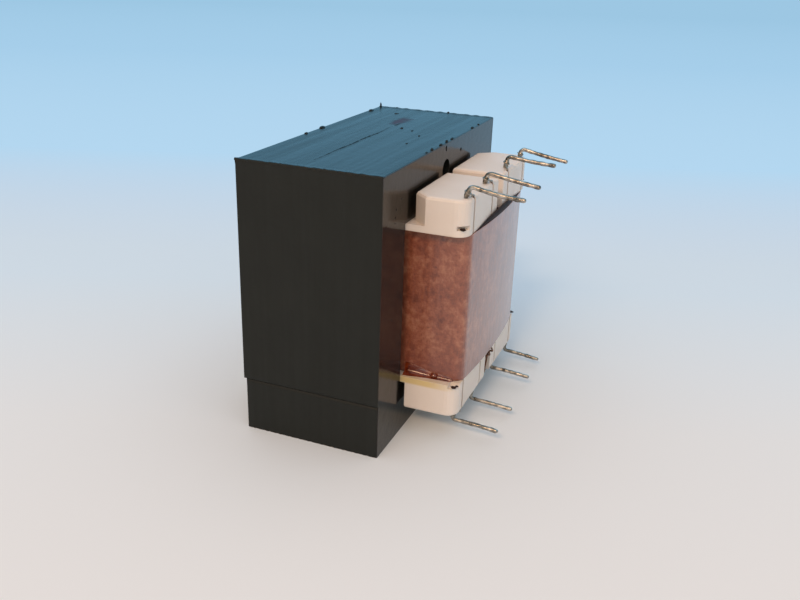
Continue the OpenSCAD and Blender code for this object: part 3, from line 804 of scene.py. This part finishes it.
def rim_tube():
    """The wrap's upper rim over the flange's edge, a tube along y, dark with painted shade for the
    shaded gap there. Its width is the gap from the flange's edge to the wrap, whose front bows as
    1 - (y / 15) ** 2, and it is half as tall again as it is wide."""
    flange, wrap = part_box("bobbin")[1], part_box("outer_wrap")[1]
    y = np.linspace(-RIM_HALF, RIM_HALF, 90)
    gap = (wrap.x - flange.x) / MM + 0.06 - 0.72 * (y / 15.0) ** 2 + 0.03 * waves(y, 71, 5, 2, 7)
    r = np.maximum(gap * 0.48 * (1 - 0.6 * (y / RIM_HALF) ** 2), 0.05)
    height = wrap.z / MM + 0.28 - 0.3 * (y / RIM_HALF) ** 2
    a = np.linspace(0, 2 * math.pi, 14, endpoint=False)[None]
    path = np.stack([flange.x / MM + r, y, height], 1)
    return swept(path, r[:, None] * (1 + 0.5 * np.sin(a) ** 2), (1, 0, 0), 14)


def fillet_grid():
    """Varnish set in the corner under the coil: point(x, a) = corner + w(x) * (1 - sin a) outwards
    and w(x) * (1 - cos a) up, a hollow quarter circle whose width w shrinks along the coil with a
    few waves. The ends close in the corner."""
    low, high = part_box("varnish_fillet")
    x0, x1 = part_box("e_laminations")[1].x / MM, high.x / MM
    wall, foot = high.y / MM, low.z / MM
    x = np.linspace(x0, x1 + 0.6, 120)
    t = (x - x0) / (x[-1] - x0)
    w = 1.95 - 0.75 * t - 0.55 / (1 + np.exp(-(t - 0.3) / 0.07)) + 0.05 * waves(x, 31, 6, 2.0, 6.0)
    w *= np.sqrt(np.clip((1 - t) / 0.08, 0, 1))
    a = np.linspace(0, math.pi / 2, 14)
    out = 0.72 * w[:, None] * (1 - np.sin(a))[None]
    rise = w[:, None] * (1 - np.cos(a))[None]
    out[:, 0] *= 1.05
    across = np.broadcast_to(x[:, None], out.shape)
    points = np.stack([across, wall - 0.02 - out, foot + 0.02 + rise], -1)
    back = np.stack([x, np.full(120, wall + 0.1), np.full(120, foot - 0.1)], 1)[:, None]
    grid = np.concatenate([back, points, back], 1)
    n, m = grid.shape[:2]
    ends = np.stack([np.arange(m), np.arange(n * m)[-m:][::-1]])
    return grid.reshape(-1, 3), [grid_faces(n, m)[:, [0, 3, 2, 1]], ends]


class TRANSFORMER_OT_core(bpy.types.Operator):
    """Varnishes the core"""
    bl_idname = "transformer.core"
    bl_label = "Core"

    def execute(self, context):
        mat = core_varnish(context.scene.transformer_core)
        dress(("e_laminations", "i_laminations"), mat)
        piece("varnish_coat", core_coats(), mat)
        piece("edge_varnish", edge_strip(), mat)
        piece("varnish_ridge", top_ridge(), mat)
        piece("varnish_beads", core_drops(), mat)
        return {"FINISHED"}


class TRANSFORMER_OT_bobbin(bpy.types.Operator):
    """Gives the bobbin its nylon"""
    bl_idname = "transformer.bobbin"
    bl_label = "Bobbin"

    def execute(self, context):
        dress(("bobbin",), nylon())
        return {"FINISHED"}


class TRANSFORMER_OT_coil(bpy.types.Operator):
    """Finishes the windings, their insulation, the pad and the wrap"""
    bl_idname = "transformer.coil"
    bl_label = "Coil"

    def execute(self, context):
        dress(("outer_wrap",), wrap_film())
        dress(("primary_winding", "secondary_winding"), enamelled_copper())
        dress(("winding_insulation",), insulation_film())
        dress(("lead_pad",), kraft_paper())
        # The dark material is painted shade for the shaded gap over the wrap's rim and the shaded
        # slots; the amber one is real varnish
        dark, amber = dark_painted_shade(), varnish()
        piece("wrap_rim_painted_shade", rim_tube(), dark)
        piece("slot_painted_shade", slot_shade_blobs(), dark)
        # A small drop sits on the fillet
        low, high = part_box("varnish_fillet")
        place = (17.8, high.y / MM - 0.35, low.z / MM + 0.55, 0.7, 0.4, 0.35)
        piece("varnish_drop", drops([place], 91), amber)
        piece("set_varnish", fillet_grid(), amber, ("varnish_fillet",))
        return {"FINISHED"}


class TRANSFORMER_OT_pins(bpy.types.Operator):
    """Makes the tinned pins, with their solder and lead wires"""
    bl_idname = "transformer.pins"
    bl_label = "Pins"

    def execute(self, context):
        settings = context.scene.transformer_pins
        tin, joint, wire = tinned_wire(), solder(), enamelled_copper(True)
        for i in range(1, len(PINS) + 1):
            lead = swept(lead_path(i), LEAD_R, (1, 0.3, 0), 12)
            piece(f"tinned_pin_{i}", pin_tube(i, settings), tin, (f"pin_{i}",))
            piece(f"solder_joint_{i}", solder_tube(i), joint, (f"solder_{i}",))
            piece(f"lead_wire_{i}", lead, wire, (f"lead_{i}",))
        return {"FINISHED"}


# ---------------------------------------------------------------- stage


class TRANSFORMER_OT_stage(bpy.types.Operator):
    """Makes the floor, the light and the camera"""
    bl_idname = "transformer.stage"
    bl_label = "Stage"

    def execute(self, context):
        floor()
        sky(context.scene)
        lamps(context.scene)
        camera(context.scene, context.scene.transformer_stage)
        return {"FINISHED"}


def floor():
    """A wide round floor under the core: point(r, a) = (r cos a, r sin a, 0) and a middle point,
    warm white near the core and bluer with distance, as paper under two lights is."""
    mat, tree = blank("pale paper sweep")
    at = add(tree, "TexCoord")["Object"]
    away = add(tree, "VectorMath", (at, AWAY), operation="DOT_PRODUCT")["Value"]
    near = add(tree, "Math", (away, 1 / 0.35, 0.2), operation="MULTIPLY_ADD", use_clamp=True)[0]
    colour = add(tree, "ValToRGB", (near,),
        ((0.0, "#eaf0f0"), (0.14, "#e6f0f3"), (0.34, "#d6eefc"), (1.0, "#c4e2f8")))["Color"]
    paper = add(tree, "BsdfPrincipled", {"Base Color": colour, "Roughness": 0.85,
        "Specular IOR Level": 0.2})[0]
    # Far off, the sweep shows its own colour to the eye and to reflections
    far = add(tree, "Math", (away, 1 / 1.2), operation="MULTIPLY", use_clamp=True)[0]
    plain = add(tree, "ValToRGB", (far,),
        ((0.04, "#c8d8ec"), (0.16, "#b4d7f0"), (0.46, "#a6ceea"), (1.0, "#9dc7e3")))["Color"]
    shown = add(tree, "Emission", {"Color": plain})[0]
    ray = add(tree, "LightPath")
    eye = add(tree, "Math", (ray["Is Camera Ray"], ray["Is Glossy Ray"]), operation="MAXIMUM")[0]
    eye = add(tree, "Math", (eye, ray["Is Transmission Ray"]), operation="MAXIMUM")[0]
    far = add(tree, "Math", (away, 1 / 0.12, -0.6), operation="MULTIPLY_ADD", use_clamp=True)[0]
    far = add(tree, "Math", (eye, far), operation="MULTIPLY")[0]
    shader = add(tree, "MixShader", (far, paper, shown))[0]
    add(tree, "OutputMaterial", {"Surface": shader})
    r = np.array([0.03, 0.1, 0.3, 1.0, 3.0, 8.0])[:, None] / MM
    sides = 48
    a = np.linspace(0, 2 * math.pi, sides, endpoint=False)[None]
    ring = np.stack([r * np.cos(a), r * np.sin(a), 0 * r * a], -1).reshape(-1, 3)
    i = np.arange(len(r) - 1)[:, None] * sides
    k = np.arange(sides)[None]
    m = (k + 1) % sides
    quads = np.stack([i + k, i + k + sides, i + m + sides, i + m], -1).reshape(-1, 4)
    fan = np.stack([np.full(sides, len(ring)), k[0], m[0]], -1)
    meshed("floor", np.vstack([ring, [[0, 0, 0]]]), [quads, fan], mat)


def sky(scene):
    """A pale room. The eye and reflections see its far side blue, and only reflections see its
    near side dim."""
    scene.world = bpy.data.worlds.new("pale room")
    scene.world.use_nodes = True
    tree = scene.world.node_tree
    tree.nodes.clear()
    plain = add(tree, "Background", (linear("#e6e6ee"), 0.7))[0]
    way = add(tree, "TexCoord")["Generated"]
    away = add(tree, "VectorMath", (way, AWAY), operation="DOT_PRODUCT")["Value"]
    away = add(tree, "Math", (away, 0.5, 0.5), operation="MULTIPLY_ADD", use_clamp=True)[0]
    dim = add(tree, "ValToRGB", (away,),
        ((0.35, "#8c9290"), (0.6, "#86b4cc"), (0.8, "#7ebfe2"), (1.0, "#86c6ea")))["Color"]
    pale = add(tree, "ValToRGB", (away,), ((0.4, "#e2dedc"), (0.8, "#a0c9e6")))["Color"]
    ray = add(tree, "LightPath")
    sweep = add(tree, "Mix", {FACTOR: ray["Is Camera Ray"], FROM: dim, TO: pale},
        data_type="RGBA")[MIXED]
    seen = add(tree, "Background", (sweep, 1.0))[0]
    eye = add(tree, "Math", (ray["Is Camera Ray"], ray["Is Glossy Ray"]), operation="MAXIMUM")[0]
    eye = add(tree, "Math", (eye, ray["Is Transmission Ray"]), operation="MAXIMUM")[0]
    add(tree, "OutputWorld", {"Surface": add(tree, "MixShader", (eye, plain, seen))[0]})


def lamps(scene):
    """A warm sun in front, a long warm window behind the camera, and a soft ceiling."""
    for name, kind, colour, energy, place, aim, settings in (
        ("warm key", "SUN", WARM, 0.65, (0.02, -0.48, 0.4), (0, 0, 0),
            {"angle": math.radians(10)}),
        ("long window", "AREA", WARM, 2.0, (0.03, -0.77, 0.66), (0, 0, 0.02),
            {"shape": "RECTANGLE", "size": 0.6, "size_y": 0.12}),
        ("ceiling", "SUN", "#fff4ec", 0.42, (0, 0, 0.5), (0, 0, 0),
            {"angle": math.radians(70)}),
    ):
        data = bpy.data.lights.new(name, kind)
        data.color = linear(colour)[:3]
        data.energy = energy
        for key, value in settings.items():
            setattr(data, key, value)
        made = bpy.data.objects.new(name, data)
        scene.collection.objects.link(made)
        made.location = place
        made.rotation_mode = "QUATERNION"
        made.rotation_quaternion = (Vector(aim) - Vector(place)).to_track_quat("-Z", "Y")


def camera(scene, settings):
    """The camera, turned so that its right and up are square to its aim."""
    data = bpy.data.cameras.new("camera")
    data.lens = settings.lens
    data.sensor_width = 36
    data.clip_start, data.clip_end = 0.005, 50
    made = bpy.data.objects.new("camera", data)
    scene.collection.objects.link(made)
    back = -Vector(settings.aim).normalized()
    up = back.cross(Vector(settings.level)).normalized()
    turn = Matrix((up.cross(back), up, back)).transposed()
    made.matrix_world = Matrix.Translation(settings.place) @ turn.to_4x4()
    scene.camera = made
    scene.view_settings.view_transform = "Standard"


# ---------------------------------------------------------------- panel and registration


class TRANSFORMER_PT_panel(bpy.types.Panel):
    """A button for each step, and the settings"""
    bl_idname = "TRANSFORMER_PT_panel"
    bl_label = "Transformer"
    bl_space_type = "VIEW_3D"
    bl_region_type = "UI"
    bl_category = "Transformer"

    def draw(self, context):
        layout = self.layout
        for step in STEPS:
            layout.operator(step.bl_idname)
        for name, group in SETTINGS.items():
            box = layout.box()
            for key in group.__annotations__:
                box.prop(getattr(context.scene, name), key)


SETTINGS = {"transformer_core": CoreSettings, "transformer_pins": PinSettings,
    "transformer_stage": StageSettings}
STEPS = (TRANSFORMER_OT_core, TRANSFORMER_OT_bobbin, TRANSFORMER_OT_coil, TRANSFORMER_OT_pins,
    TRANSFORMER_OT_stage)
CLASSES = (*SETTINGS.values(), *STEPS, TRANSFORMER_PT_panel)


def register():
    """Registers the classes, and puts the settings on the scene."""
    for cls in CLASSES:
        bpy.utils.register_class(cls)
    for key, group in SETTINGS.items():
        setattr(bpy.types.Scene, key, PointerProperty(type=group))


def unregister():
    """Takes the settings and the classes away again."""
    for key in SETTINGS:
        delattr(bpy.types.Scene, key)
    for cls in reversed(CLASSES):
        bpy.utils.unregister_class(cls)


def main():
    """Makes everything."""
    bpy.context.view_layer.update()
    register()
    for step in STEPS:
        group, name = step.bl_idname.split(".")
        getattr(getattr(bpy.ops, group), name)()


if __name__ == "__main__":
    main()
